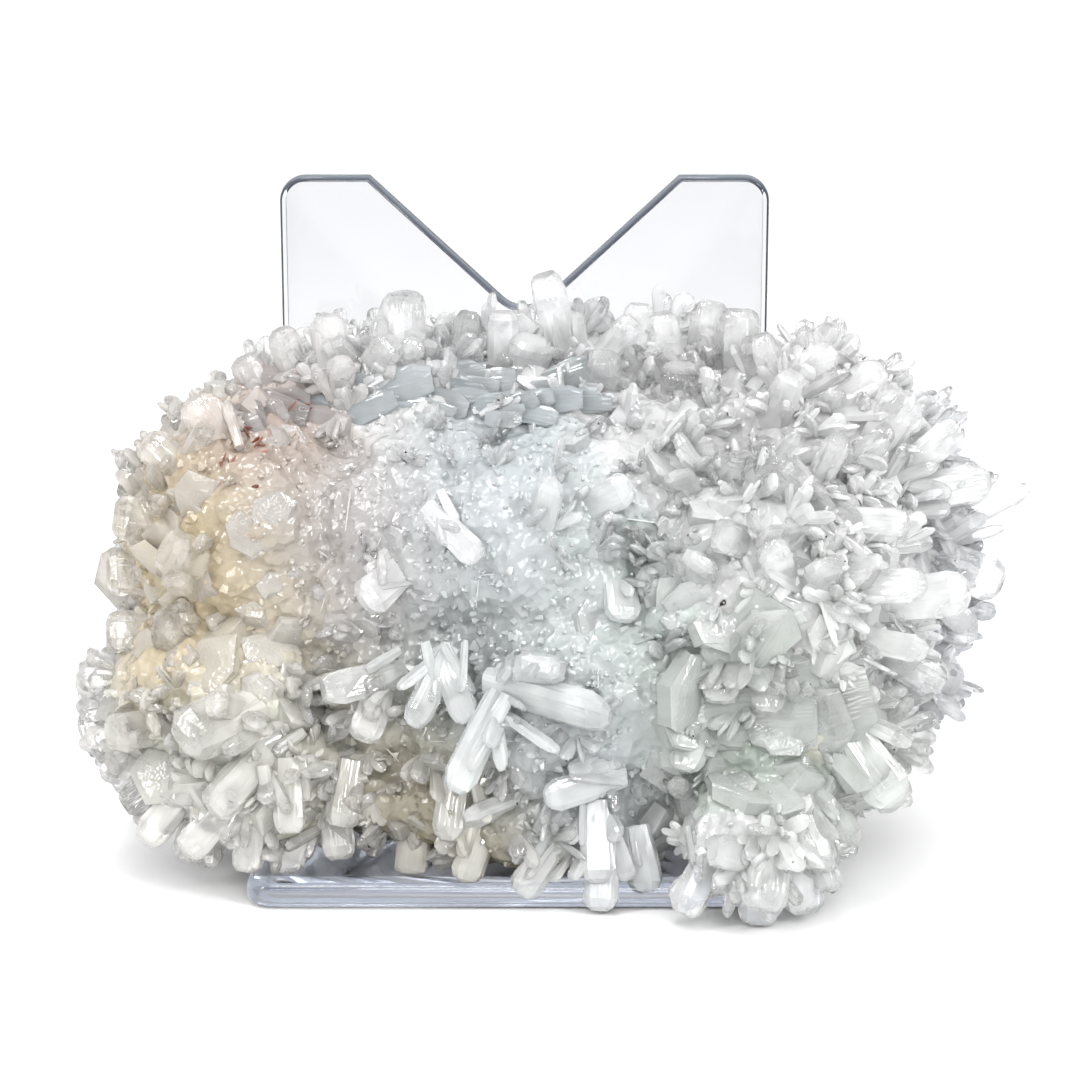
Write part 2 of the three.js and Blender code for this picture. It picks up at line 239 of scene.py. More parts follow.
# ---- Intergrown mass ------------------------------------------------------------------------
# The root mass that all crystals grew from: fine grains of the same mineral, grown into lumps.
# It is sugary and white in the middle, cream on the left, grey-green on the right.

LUMPS = [  # centre and half sizes, mm
    ((2, -4, 40), (46, 25, 29)),      # heart
    ((-37, -3, 44), (20, 21, 23)),    # left shoulder
    ((-42, -12, 24), (18, 18, 15)),   # left foot
    ((-36, -22, 16), (15, 10, 9)),    # left toe
    ((-21, 3, 61), (21, 15, 13)),     # left ridge
    ((8, 8, 60), (34, 15, 15)),       # top ridge
    ((38, 2, 52), (24, 19, 19)),      # right shoulder
    ((43, -2, 35), (19, 21, 20)),     # right flank
    ((32, -18, 38), (22, 16, 20)),    # right bulge
    ((8, -20, 25), (36, 16, 16)),     # belly
    ((34, -20, 22), (17, 17, 15)),    # apron
    ((30, -34, 12), (9, 9, 8)),       # hanging root
    ((-5, -19, 14), (33, 13, 9)),     # keel
    ((6, -26, 10), (18, 9, 7)),       # front foot
    ((0, 12, 36), (44, 17, 27)),      # back
]
LUMP_CENTRES = np.array([centre for centre, half in LUMPS], float)
LUMP_HALVES = np.array([half for centre, half in LUMPS], float)
MIDDLE = np.array((2.0, -4.0, 38.0))  # mm
HOLLOWS = [  # centre, radius and depth, mm
    # The grey of this pit is painted shade, set as its zone's darker colour below.
    ((-9, -31, 35), 9, 5.0),          # the grey pit under the middle
    ((-4, -16, 65), 9, 3.0),          # the step under the crest
    ((-24, -14, 63), 8, 2.0),         # its left end
    ((16, -33, 12), 8, 3.0),          # between the keel and the hanging bunch
    ((-18, -33, 26), 8, 2.5),         # beside the cream foot
]

# The zones of the surface: centre and spread in mm, the colour as it looks, then in mm the
# length and width of the blades, the width of the blocks and of the grains, and last how many
# sprays, blocks and grains grow there, from 0 to 1.
ZONES = [
    ("cream shoulder", (-46, -18, 42), 15, (0.62, 0.56, 0.44), 3.5, 2.6, 9.0, 1.2, 0.08, 0.8, 0.25),
    ("rosy barrels", (-54, -2, 55), 10, (0.65, 0.62, 0.58), 4.5, 3.6, 6.0, 1.3, 0.80, 0.6, 0.3),
    ("plum edge", (-36, -12, 60), 8, (0.53, 0.465, 0.43), 3.0, 1.6, 4.5, 0.9, 0.20, 0.4, 0.7),
    ("rosy face", (-25, -22, 49), 12, (0.53, 0.515, 0.515), 2.8, 1.4, 4.0, 0.8, 0.12, 0.08, 1.0),
    ("blue shelf", (-2, -16, 64), 11, (0.50, 0.53, 0.54), 3.5, 1.6, 5.0, 0.7, 0.05, 0.15, 0.5),
    ("white sugar", (-4, -28, 51), 13, (0.60, 0.62, 0.63), 2.8, 1.3, 4.0, 0.8, 0.08, 0.04, 1.0),
    ("green middle", (17, -30, 46), 12, (0.60, 0.63, 0.62), 6.0, 2.3, 7.5, 1.0, 0.60, 0.8, 0.5),
    # Painted shade: the zone in the pit under the middle is coloured darker grey for the shade in
    # the hollow.
    ("hollow in painted shade", (-8, -32, 34), 9, (0.43, 0.455, 0.45), 3.0, 1.6, 3.5, 1.5, 0.15, 0.2, 1.0),
    ("blue crust", (6, -34, 21), 11, (0.575, 0.595, 0.605), 4.0, 1.8, 4.0, 1.1, 0.25, 0.2, 1.0),
    ("green apron", (31, -36, 26), 12, (0.50, 0.535, 0.50), 6.0, 3.0, 11.0, 1.0, 0.22, 1.0, 0.2),
    ("white sprays", (42, -22, 48), 16, (0.96, 0.965, 0.96), 8.0, 2.7, 6.5, 1.2, 1.00, 0.4, 0.4),
    # Painted shade: this zone is greyer so that the crystals along the right outline look darker.
    ("right outline in painted shade", (60, 2, 38), 14, (0.62, 0.64, 0.67), 7.5, 3.3, 6.0, 1.4, 1.00, 0.3, 0.3),
    ("cream foot", (-36, -28, 20), 14, (0.71, 0.70, 0.66), 6.0, 3.2, 7.5, 1.3, 0.80, 0.8, 0.3),
    ("clear left edge", (-60, -8, 24), 12, (0.74, 0.74, 0.745), 4.5, 3.8, 7.0, 1.4, 0.80, 0.8, 0.4),
    ("clear crest", (6, 4, 76), 22, (0.83, 0.835, 0.84), 6.0, 3.2, 6.0, 1.3, 1.00, 0.4, 0.4),
    ("olive keel", (-14, -28, 8), 14, (0.46, 0.435, 0.365), 5.0, 2.6, 5.0, 1.2, 0.90, 0.3, 0.4),
    ("hanging bunch", (31, -42, 8), 9, (0.81, 0.815, 0.81), 6.0, 3.2, 5.5, 1.3, 0.90, 0.5, 0.4),
    ("back", (0, 28, 40), 40, (0.80, 0.80, 0.79), 4.0, 2.8, 5.0, 1.4, 0.70, 0.7, 0.5),
]
ZONE_CENTRES = np.array([zone[1] for zone in ZONES], float)
ZONE_SPREADS = np.array([zone[2] for zone in ZONES], float)
ZONE_COLOURS = np.array([zone[3] for zone in ZONES], float)
ZONE_VALUES = {
    value: np.array([zone[4 + place] for zone in ZONES], float)
    for place, value in enumerate(
        ["blade length", "blade width", "block", "grain", "sprays", "blocks", "grains"])
}


def zone_shares(points):
    """How much of each zone there is at each point, in mm."""
    away = np.linalg.norm(points[:, None, :] - ZONE_CENTRES[None], axis=2) / ZONE_SPREADS
    share = np.exp(-away ** 2) + 1e-6 / (1 + away)
    return share / share.sum(axis=1, keepdims=True)


def linear(colour):
    """The light that a colour as it looks sends back."""
    return np.power(np.clip(colour, 0, 1), 2.2)


STAND_LOW, STAND_HIGH = (np.array(corner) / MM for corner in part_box("display_stand"))
SHEET = 3.4  # mm, how thick the acrylic is
CLEARANCE = 0.35  # mm, between the crystals and the sheet
ABOVE_TABLE = 0.1  # mm, between the crystals and the table


def in_the_way(points):
    """True for each point, in mm, that would touch the stand's sheet or the table."""
    x, y, z = points.T
    over_base = (np.abs(x) < STAND_HIGH[0] + CLEARANCE) & (y > STAND_LOW[1] - CLEARANCE)
    touches_base = over_base & (z < SHEET + CLEARANCE)
    touches_back = (np.abs(x) < STAND_HIGH[0] + CLEARANCE) & (y > STAND_HIGH[1] - SHEET - CLEARANCE)
    return touches_base | touches_back | (z < ABOVE_TABLE)


def add_relief(piece, kind, size, height, dip):
    """One layer of relief, applied. Size and height are in mm."""
    texture = bpy.data.textures.new(kind.lower(), kind)
    texture.noise_scale = size * MM
    relief = piece.modifiers.new("relief", "DISPLACE")
    relief.texture = texture
    relief.texture_coords = "LOCAL"
    relief.strength = height * MM
    relief.mid_level = dip
    select_only(piece)
    bpy.ops.object.modifier_apply(modifier=relief.name)


def points_of(piece):
    """The piece's vertices, in mm."""
    flat = np.empty(len(piece.data.vertices) * 3)
    piece.data.vertices.foreach_get("co", flat)
    return flat.reshape(-1, 3) / MM


def move_points(piece, points):
    """Puts the piece's vertices at these places, in mm."""
    piece.data.vertices.foreach_set("co", (points * MM).ravel())
    piece.data.update()


def smooth_normals(points):
    """The way the lumps face near each point, without the grains."""
    value = (((points[:, None] - LUMP_CENTRES) / LUMP_HALVES) ** 2).sum(axis=2)
    nearest = value.argmin(axis=1)
    normal = (points - LUMP_CENTRES[nearest]) / LUMP_HALVES[nearest] ** 2
    return normal / np.linalg.norm(normal, axis=1, keepdims=True)


def press_hollows(points):
    """Pushes the surface in where the specimen is hollow."""
    inward = -smooth_normals(points)
    for centre, radius, depth in HOLLOWS:
        away = np.linalg.norm(points - np.array(centre), axis=1) / radius
        points = points + inward * (depth * np.exp(-away ** 2))[:, None]
    return points


def keep_clear_of_stand(points):
    """Flattens what would reach into the sheet or the table against it."""
    x, y, z = points.T
    beside = np.abs(x) < STAND_HIGH[0] + CLEARANCE
    y = np.where(beside, np.minimum(y, STAND_HIGH[1] - SHEET - CLEARANCE), y)
    over_base = beside & (y > STAND_LOW[1] - CLEARANCE)
    z = np.maximum(z, np.where(over_base, SHEET + CLEARANCE, ABOVE_TABLE))
    return np.stack([x, y, z], axis=1)


def set_colours(mesh, colours):
    """Writes one colour per vertex as the attribute tint."""
    tint = mesh.attributes.new("tint", "FLOAT_COLOR", "POINT")
    rgba = np.ones((len(mesh.vertices), 4))
    rgba[:, :3] = linear(colours)
    tint.data.foreach_set("color", rgba.ravel())


WHITEST_GRAIN = 0.68  # the mass and its grains stay duller than the crystals on them
SURFACE_STEP = 0.66  # mm between the points of the surface
RELIEF = [  # kind, size and height in mm, and the share of the height that goes inwards
    ("CLOUDS", 14, 4.0, 0.5),    # swellings
    ("VORONOI", 5, 1.8, 0.4),    # knobs
    ("VORONOI", 1.7, 1.0, 0.4),  # sugar
]


def grow_mass():
    """The lumps fused into one skin, with its hollows, knobs and colours."""
    balls = []
    for centre, half in LUMPS:
        bpy.ops.mesh.primitive_ico_sphere_add(subdivisions=5, radius=1, location=Vector(centre) * MM)
        ball = bpy.context.object
        ball.scale = Vector(half) * MM
        balls.append(ball)
    bpy.ops.object.select_all(action="DESELECT")
    for ball in balls:
        ball.select_set(True)
    bpy.context.view_layer.objects.active = balls[0]
    bpy.ops.object.join()
    grown = bpy.context.object
    bpy.ops.object.transform_apply(location=True, rotation=True, scale=True)
    grown.name = "intergrown_mass"
    remesh = grown.modifiers.new("fuse", "REMESH")
    remesh.mode = "VOXEL"
    remesh.voxel_size = SURFACE_STEP * MM
    bpy.ops.object.modifier_apply(modifier=remesh.name)
    move_points(grown, press_hollows(points_of(grown)))
    for kind, size, height, dip in RELIEF:
        add_relief(grown, kind, size, height, dip)
    points = keep_clear_of_stand(points_of(grown))
    move_points(grown, points)
    set_colours(grown.data, np.minimum(zone_shares(points) @ ZONE_COLOURS, WHITEST_GRAIN))
    select_only(grown)
    bpy.ops.object.shade_smooth()
    return grown


MINERAL_IOR = 1.54
CLOUD_SCALE = 160  # clouds of colour, per metre
DARKEST_CLOUD, LIGHTEST_CLOUD = 0.88, 1.08
SUGAR_SCALE = 620  # grains of sugar, per metre
SUGAR_HEIGHT = 0.5  # mm


def read_attribute(nodes, name):
    """A node that reads one of the values written on the mesh."""
    value = nodes.new("ShaderNodeAttribute")
    value.attribute_name = name
    return value


def sugary_mass():
    """Glossy sugar in the colours of the zones, a little cloudy."""
    material, shader, nodes, links = new_material("sugary_mass", 0.16)
    tint = read_attribute(nodes, "tint")
    place = nodes.new("ShaderNodeTexCoord")
    cloud = nodes.new("ShaderNodeTexNoise")
    cloud.inputs["Scale"].default_value = CLOUD_SCALE
    cloud.inputs["Detail"].default_value = 5
    vary = nodes.new("ShaderNodeMapRange")
    vary.inputs["To Min"].default_value = DARKEST_CLOUD
    vary.inputs["To Max"].default_value = LIGHTEST_CLOUD
    mix = nodes.new("ShaderNodeMix")
    mix.data_type = "RGBA"
    mix.blend_type = "MULTIPLY"
    mix.inputs["Factor"].default_value = 1
    links.new(place.outputs["Object"], cloud.inputs["Vector"])
    links.new(cloud.outputs["Fac"], vary.inputs["Value"])
    links.new(tint.outputs["Color"], mix.inputs["A"])
    links.new(vary.outputs["Result"], mix.inputs["B"])
    links.new(mix.outputs["Result"], shader.inputs["Base Color"])
    grain = nodes.new("ShaderNodeTexVoronoi")
    grain.inputs["Scale"].default_value = SUGAR_SCALE
    bump = nodes.new("ShaderNodeBump")
    bump.inputs["Strength"].default_value = 0.85
    bump.inputs["Distance"].default_value = SUGAR_HEIGHT * MM
    links.new(place.outputs["Object"], grain.inputs["Vector"])
    links.new(grain.outputs["Distance"], bump.inputs["Height"])
    links.new(bump.outputs["Normal"], shader.inputs["Normal"])
    shader.inputs["IOR"].default_value = MINERAL_IOR
    return material


mass = grow_mass()
mass.data.materials.append(sugary_mass())
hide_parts("crystal_cluster")
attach(mass, "root")


# ---- Crystal shapes -------------------------------------------------------------------------
# The habits of the mineral, each modelled once, one unit long and one unit wide: blades with
# a rounded chisel tip, a stout prism, a block with a flat end, a broad tablet and a tiny grain.

SQUARE_CUT_CORNERS = 8  # a habit with this many sides is a square with its corners cut
CORNER_CUT = 0.2
ROUND_HABIT_RADIUS = 0.55


def model_habit(name, sides, rings):
    """A crystal that stands on its foot. Each ring is how far up it is and how wide."""
    foot_z, foot_width = rings[0]
    bpy.ops.object.select_all(action="DESELECT")
    if sides == SQUARE_CUT_CORNERS:
        bpy.ops.mesh.primitive_plane_add(size=1, location=(0, 0, foot_z))
    else:
        bpy.ops.mesh.primitive_circle_add(
            vertices=sides, radius=ROUND_HABIT_RADIUS, fill_type="NGON", location=(0, 0, foot_z))
    crystal = bpy.context.object
    crystal.name = name
    bpy.ops.object.mode_set(mode="EDIT")
    bpy.ops.mesh.select_all(action="SELECT")
    if sides == SQUARE_CUT_CORNERS:
        bpy.ops.mesh.bevel(offset=CORNER_CUT, segments=1, affect="VERTICES")
        bpy.ops.mesh.select_all(action="SELECT")
    bpy.ops.transform.resize(value=(foot_width, foot_width, 1))
    below_z, below_width = foot_z, foot_width
    for z, width in rings[1:]:
        bpy.ops.mesh.extrude_region_move(
            TRANSFORM_OT_translate={"value": (0, 0, z - below_z)})
        grow = width / below_width
        bpy.ops.transform.resize(value=(grow, grow, 1))
        below_z, below_width = z, width
    bpy.ops.mesh.select_all(action="SELECT")
    bpy.ops.mesh.normals_make_consistent(inside=False)
    bpy.ops.object.mode_set(mode="OBJECT")
    bpy.ops.object.transform_apply(location=True, rotation=True, scale=True)
    return crystal


def take_shape(crystal):
    """The modelled crystal as points and faces, and the model is put away."""
    points = points_of(crystal) * MM
    faces = [tuple(face.vertices) for face in crystal.data.polygons]
    bpy.data.objects.remove(crystal)
    return points, faces


BLADE = take_shape(model_habit(
    "blade", 8, [(0, 0.75), (0.45, 0.95), (0.84, 1.0), (0.95, 0.76), (1.0, 0.4)]))
SPRAY_BLADE = take_shape(model_habit(
    "spray_blade", 6, [(0, 0.6), (0.45, 0.9), (0.8, 1.0), (0.94, 0.72), (1.0, 0.3)]))
PRISM = take_shape(model_habit(
    "prism", 8, [(0, 0.8), (0.5, 0.96), (0.8, 1.0), (0.93, 0.88), (1.0, 0.6)]))
SMALL_BLADE = take_shape(model_habit(
    "small_blade", 6, [(0, 0.6), (0.68, 1.0), (0.92, 0.74), (1.0, 0.3)]))
GRAIN = take_shape(model_habit("grain", 5, [(0, 1.0), (1.0, 0.3)]))
BLOCK = take_shape(model_habit("block", 6, [(0, 0.9), (0.8, 1.0), (0.93, 0.86), (1.0, 0.5)]))
TABLET = take_shape(model_habit("tablet", 8, [(0, 0.72), (0.2, 1.0), (0.8, 1.0), (1.0, 0.62)]))


FACE_CLARITY = 0.82  # how clear the crystals on the milky face are, next to those on the rim
RIM_TURN = 1.1  # how fast the rim clears as it turns away from the viewer


def clearness_at(points):
    """How clear the crystals are at each point, in mm: clear on the rim, milky on the face."""
    rim = np.clip(1 + RIM_TURN * smooth_normals(points)[:, 1], 0, 1)
    return FACE_CLARITY + (1 - FACE_CLARITY) * rim


MILKY_UP_TO, CLEAR_FROM = 0.2, 0.8  # shares of a crystal's length
ROOT_CLEARNESS = 0.72  # next to its tip
CLEAR_WHITENESS = 0.86  # how much of its zone's colour a quite clear crystal loses
GROWTH_ROOM = 50  # mm, so that no two crystals show the same lines and veils


def shape_crystals(
        shape, feet, tips, across, widths, flatness, colours, clarity, seed, uneven=0.12):
    """Every crystal's points in metres, its faces, and the colour, clearness and place in the
    crystal at each point. Feet, tips and widths are in mm, across is the way the wide side
    lies, clarity is how clear each tip is, and uneven is how much its corners wander."""
    rng = np.random.default_rng(seed)
    local, faces = shape
    count = len(feet)
    along = tips - feet
    lengths = np.linalg.norm(along, axis=1)
    along = along / lengths[:, None]
    side = across - along * (across * along).sum(axis=1, keepdims=True)
    side /= np.linalg.norm(side, axis=1, keepdims=True)
    thick = np.cross(along, side)
    wobble = 1 + uneven * (rng.random((count, len(local), 2)) - 0.5)
    x = local[None, :, 0] * widths[:, None] * wobble[:, :, 0]
    y = local[None, :, 1] * (widths * flatness)[:, None] * wobble[:, :, 1]
    z = local[None, :, 2] * lengths[:, None]
    points = (feet[:, None, :] + x[..., None] * side[:, None, :]
              + y[..., None] * thick[:, None, :] + z[..., None] * along[:, None, :])
    rise = np.clip((local[None, :, 2] - MILKY_UP_TO) / (CLEAR_FROM - MILKY_UP_TO), 0, 1)
    clear = clarity[:, None] * (ROOT_CLEARNESS + (1 - ROOT_CLEARNESS) * rise)
    tint = colours[:, None, :] + (1 - colours[:, None, :]) * (CLEAR_WHITENESS * clear)[..., None]
    growth = np.stack([x, y, z], axis=2) + rng.random((count, 1, 3)) * GROWTH_ROOM
    return {"points": points * MM, "faces": faces, "tint": tint, "clear": clear, "growth": growth}


def crystal_mesh(name, crystals, chosen):
    """One mesh of the chosen crystals of a group."""
    faces = crystals["faces"]
    points = crystals["points"][chosen]
    count, size = points.shape[:2]
    sizes = np.array([len(face) for face in faces])
    corners = np.concatenate([np.array(face) for face in faces])
    corners = (corners[None] + np.arange(count)[:, None] * size).ravel()
    starts = np.concatenate([[0], np.cumsum(sizes)[:-1]])
    starts = (starts[None] + np.arange(count)[:, None] * sizes.sum()).ravel()
    mesh = bpy.data.meshes.new(name)
    mesh.vertices.add(count * size)
    mesh.vertices.foreach_set("co", points.ravel())
    mesh.loops.add(len(corners))
    mesh.loops.foreach_set("vertex_index", corners)
    mesh.polygons.add(len(starts))
    mesh.polygons.foreach_set("loop_start", starts)
    mesh.update(calc_edges=True)
    tint = np.ones((count * size, 4))
    tint[:, :3] = linear(crystals["tint"][chosen].reshape(-1, 3))
    mesh.attributes.new("tint", "FLOAT_COLOR", "CORNER").data.foreach_set(
        "color", tint[corners].ravel())
    mesh.attributes.new("clear", "FLOAT", "CORNER").data.foreach_set(
        "value", crystals["clear"][chosen].ravel()[corners])
    mesh.attributes.new("growth", "FLOAT_VECTOR", "CORNER").data.foreach_set(
        "vector", crystals["growth"][chosen].reshape(-1, 3)[corners].ravel())
    return mesh


def join_crystals(name, crystals):
    """A piece of many crystals, each with its own skin."""
    mesh = crystal_mesh(name, crystals, slice(None))
    piece = bpy.data.objects.new(name, mesh)
    scene.collection.objects.link(piece)
    return piece


def fuse_crystals(name, groups, from_x, to_x):
    """A piece of the crystals between two widths in mm, grown into one another with one skin."""
    singles = []
    for group, crystals in enumerate(groups):
        middles = crystals["points"][:, :, 0].mean(axis=1) / MM
        for i in np.flatnonzero((middles >= from_x) & (middles < to_x)):
            mesh = crystal_mesh(f"{name}_{group}_{i}", crystals, [i])
            singles.append(bpy.data.objects.new(mesh.name, mesh))
    others = bpy.data.collections.new(name)
    for single in singles[1:]:
        others.objects.link(single)
    piece = singles[0]
    scene.collection.objects.link(piece)
    fuse = piece.modifiers.new("fuse", "BOOLEAN")
    fuse.operation = "UNION"
    fuse.solver = "MANIFOLD"
    fuse.operand_type = "COLLECTION"
    fuse.collection = others
    select_only(piece)
    bpy.ops.object.modifier_apply(modifier=fuse.name)
    spent = [single.data for single in singles[1:]]
    bpy.data.collections.remove(others)
    bpy.data.batch_remove(singles[1:])
    bpy.data.batch_remove(spent)
    piece.name = name
    return piece


STRIAE_SCALE = 2.6  # fine lines along a blade, per mm across it
STRIAE_STRETCH = 0.08  # how much slower they change along it
STRIAE_DEPTH = 0.25  # mm
STRIAE_STRENGTH = 0.3
VEIL_SCALE = 0.35  # milky veils, per mm
VEIL_MILK = 0.15  # how much see-through a veil takes away
VEIL_FROM, VEIL_TO = 0.35, 0.65  # where in the noise a veil begins and is full


def smooth_noise(nodes, scale):
    """Noise without fine detail."""
    noise = nodes.new("ShaderNodeTexNoise")
    noise.inputs["Scale"].default_value = scale
    noise.inputs["Detail"].default_value = 0
    return noise


def clear_crystal():
    """See-through crystal with fine lines along it and faint milky veils inside."""
    material, shader, nodes, links = new_material("clear_crystal", 0.03)
    tint = read_attribute(nodes, "tint")
    clear = read_attribute(nodes, "clear")
    growth = read_attribute(nodes, "growth")
    stretch = nodes.new("ShaderNodeMapping")
    stretch.inputs["Scale"].default_value = (1, 1, STRIAE_STRETCH)
    lines = smooth_noise(nodes, STRIAE_SCALE)
    bump = nodes.new("ShaderNodeBump")
    bump.inputs["Strength"].default_value = STRIAE_STRENGTH
    bump.inputs["Distance"].default_value = STRIAE_DEPTH * MM
    veil = smooth_noise(nodes, VEIL_SCALE)
    less = nodes.new("ShaderNodeMapRange")
    less.inputs["From Min"].default_value = VEIL_FROM
    less.inputs["From Max"].default_value = VEIL_TO
    less.inputs["To Min"].default_value = 1.0
    less.inputs["To Max"].default_value = 1.0 - VEIL_MILK
    times = nodes.new("ShaderNodeMath")
    times.operation = "MULTIPLY"
    links.new(growth.outputs["Vector"], stretch.inputs["Vector"])
    links.new(stretch.outputs["Vector"], lines.inputs["Vector"])
    links.new(lines.outputs["Fac"], bump.inputs["Height"])
    links.new(bump.outputs["Normal"], shader.inputs["Normal"])
    links.new(growth.outputs["Vector"], veil.inputs["Vector"])
    links.new(veil.outputs["Fac"], less.inputs["Value"])
    links.new(less.outputs["Result"], times.inputs[0])
    links.new(clear.outputs["Fac"], times.inputs[1])
    links.new(times.outputs["Value"], shader.inputs["Transmission Weight"])
    links.new(tint.outputs["Color"], shader.inputs["Base Color"])
    shader.inputs["IOR"].default_value = MINERAL_IOR
    return material


def finish_crystals(piece, material):
    """Gives the crystals flat faces and their material."""
    select_only(piece)
    bpy.ops.object.shade_flat()
    piece.data.materials.clear()
    piece.data.materials.append(material)
    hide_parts("crystal_cluster")
    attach(piece, "root")


# ---- Single crystals ------------------------------------------------------------------------
# The large crystals that stand out of the mass: clear upright ones on the crest, stubby ones
# on the left, long blades on the right and a bunch that hangs at the bottom right.

# Each is x, z of its foot on the front, clock, lean towards the viewer, length and width.
TOP_CRYSTALS = [
    (-38, 67, 335, 10, 5, 6), (-33, 70, 345, 12, 6, 5.5), (-27, 71, 355, 8, 7, 6),
    (-21, 71, 40, 28, 5, 6), (-17, 72, 0, 6, 9, 8.5), (-9, 71, 12, 10, 7, 5),
    (-3, 70, 2, 8, 8, 6), (0, 70, 20, 28, 5, 8), (6, 72, 345, 12, 12, 6.5),
    (11, 71, 40, 12, 8, 5), (16, 71, 5, 6, 8, 6), (21, 70, 350, 12, 8, 6),
    (26, 71, 8, 4, 8, 6.5), (31, 70, 0, 6, 8, 8), (36, 68, 340, 10, 8, 5),
    (22, 66, 5, 36, 6, 7.5), (12, 68, 350, 34, 6, 6), (-26, 68, 10, 28, 5, 5),
    (35, 64, 20, 25, 8, 6),
]
LEFT_CRYSTALS = [
    (-43, 62, 335, 8, 6, 7), (-49, 58, 315, 8, 5, 6.5), (-53, 50, 280, 8, 4.5, 8),
    (-55, 42, 268, 8, 4, 8), (-56, 34, 272, 10, 4, 7.5), (-59, 27, 268, 8, 4, 8),
    (-60, 20, 255, 8, 4, 9), (-56, 13, 240, 10, 5, 8), (-47, 36, 285, 52, 5, 7.5),
    (-53, 23, 275, 50, 5, 7), (-45, 46, 300, 46, 6, 8),
]
LOWER_LEFT_CRYSTALS = [
    (-39, 26, 255, 38, 9, 10), (-33, 23, 250, 30, 7, 6), (-37, 19, 225, 30, 8, 7),
    (-46, 20, 184, 24, 7, 5.5), (-47, 14, 220, 14, 8, 6), (-41, 13, 222, 18, 8, 6),
    (-45, 10, 195, 6, 6, 6), (-32, 17, 176, 22, 7, 5.5), (-37, 11, 188, 14, 7, 5.5),
    (-31, 9, 200, 12, 7, 6), (-26, 11, 172, 16, 6, 6), (-51, 14, 235, 10, 6, 6),
    (-19, 31, 265, 30, 9, 6), (-20, 28, 200, 40, 6, 6), (-24, 16, 190, 24, 6, 6),
]
CENTRE_CRYSTALS = [
    (-2, 31, 100, 22, 15, 7.5), (2, 33, 12, 68, 7, 9), (-4, 28, 207, 20, 12, 6),
    (-11, 33, 208, 26, 9, 5), (-10, 33, 158, 26, 8, 5), (-9, 17, 190, 22, 8, 6),
    (0, 15, 255, 24, 9, 6), (4, 14, 205, 16, 8, 5), (11, 18, 262, 26, 9, 5.5),
    (10, 12, 178, 20, 8, 6), (-6, 9, 200, 12, 6, 6), (11, 7, 184, 22, 8, 6.5),
    (3, 7, 215, 14, 6, 6), (3, 52, 8, 30, 8, 5), (-11, 52, 130, 30, 8, 5),
    (9, 54, 55, 32, 8, 6), (-15, 8, 186, 12, 6, 6), (16, 8, 170, 14, 6, 6),
    (13, 44, 170, 44, 6, 6), (-18, 44, 240, 48, 6, 7),
]
FOOT_CRYSTALS = [
    (25, 9, 210, 22, 8, 6), (30, 10, 298, 36, 7, 6), (33, 12, 190, 30, 9, 8),
    (32, 7, 182, 2, 9.5, 7), (37, 9, 172, 6, 8, 7), (38, 14, 162, 24, 8, 7.5),
    (26, 7, 235, 8, 7, 6),
]
LOWER_RIGHT_CRYSTALS = [
    (44, 24, 142, 12, 11, 8.5), (40, 15, 148, 10, 8, 8), (51, 33, 118, 16, 8, 7),
    (46, 37, 98, 22, 9, 5), (47, 36, 228, 30, 8, 5.5), (33, 34, 184, 40, 7, 6),
    (27, 33, 190, 48, 5, 6.5), (54, 22, 122, 4, 5, 8.5), (48, 17, 134, 6, 6, 8),
    (24, 26, 205, 30, 7, 6), (50, 41, 80, 24, 9, 6.5),
]
RIGHT_CRYSTALS = [
    (37, 68, 50, 14, 9, 6.5), (42, 66, 60, 8, 10, 6.5), (47, 63, 78, 6, 9, 7),
    (49, 60, 30, 4, 9, 9), (53, 56, 48, 4, 11, 6), (54, 53, 78, 6, 12, 7),
    (57, 49, 44, 6, 11, 7), (58, 46, 62, 2, 16, 4), (58, 44, 112, 4, 11, 8.5),
    (58, 39, 130, 2, 7, 5), (60, 34, 98, 2, 5, 6.5), (58, 27, 108, 0, 5, 6.5),
    (40, 56, 20, 30, 10, 5), (44, 56, 38, 26, 10, 5), (39, 55, 314, 30, 10, 8),
    (38, 51, 270, 34, 8, 5), (44, 52, 88, 28, 9, 6), (35, 45, 340, 38, 9, 6),
    (41, 50, 125, 36, 9, 6.5), (40, 44, 2, 48, 8, 7), (43, 44, 80, 28, 12, 6),
    (49, 41, 75, 18, 12, 8), (46, 40, 275, 46, 7, 7), (28, 57, 20, 46, 7, 6.5),
    (23, 55, 330, 46, 7, 6), (30, 50, 300, 48, 8, 6), (22, 46, 40, 54, 6, 7),
]
ROOTED = 3.2  # mm, how deep a foot is set into the mass
SLIMMER = 0.76  # the crystals' own width, next to the width in their row


def unit(vectors):
    """The same directions, each one long."""
    return vectors / np.linalg.norm(vectors, axis=1, keepdims=True)


def reach(start, direction):
    """How far along a line the last lump ends, in mm, or None where it meets none."""
    p = (start - LUMP_CENTRES) / LUMP_HALVES
    d = direction / LUMP_HALVES
    a = (d * d).sum(axis=1)
    b = (p * d).sum(axis=1)
    c = (p * p).sum(axis=1) - 1
    inside = b * b - a * c
    hit = inside >= 0
    if not hit.any():
        return None
    return ((np.sqrt(inside[hit]) - b[hit]) / a[hit]).max()


def front_point(x, z):
    """The point on the front of the mass at x, z, drawn in where that is past its edge."""
    for share in np.arange(1, 0, -0.02):
        px = MIDDLE[0] + (x - MIDDLE[0]) * share
        pz = MIDDLE[2] + (z - MIDDLE[2]) * share
        distance = reach(np.array([px, 0, pz]), np.array([0, -1.0, 0]))
        if distance is not None:
            return np.array([px, -distance, pz])
    return MIDDLE


def pointing(clock, towards):
    """The direction at a clock angle from upright, leaning towards the viewer, in degrees."""
    turn = math.radians(clock)
    lean = math.radians(towards)
    return np.array([
        math.sin(turn) * math.cos(lean), -math.sin(lean), math.cos(turn) * math.cos(lean)])


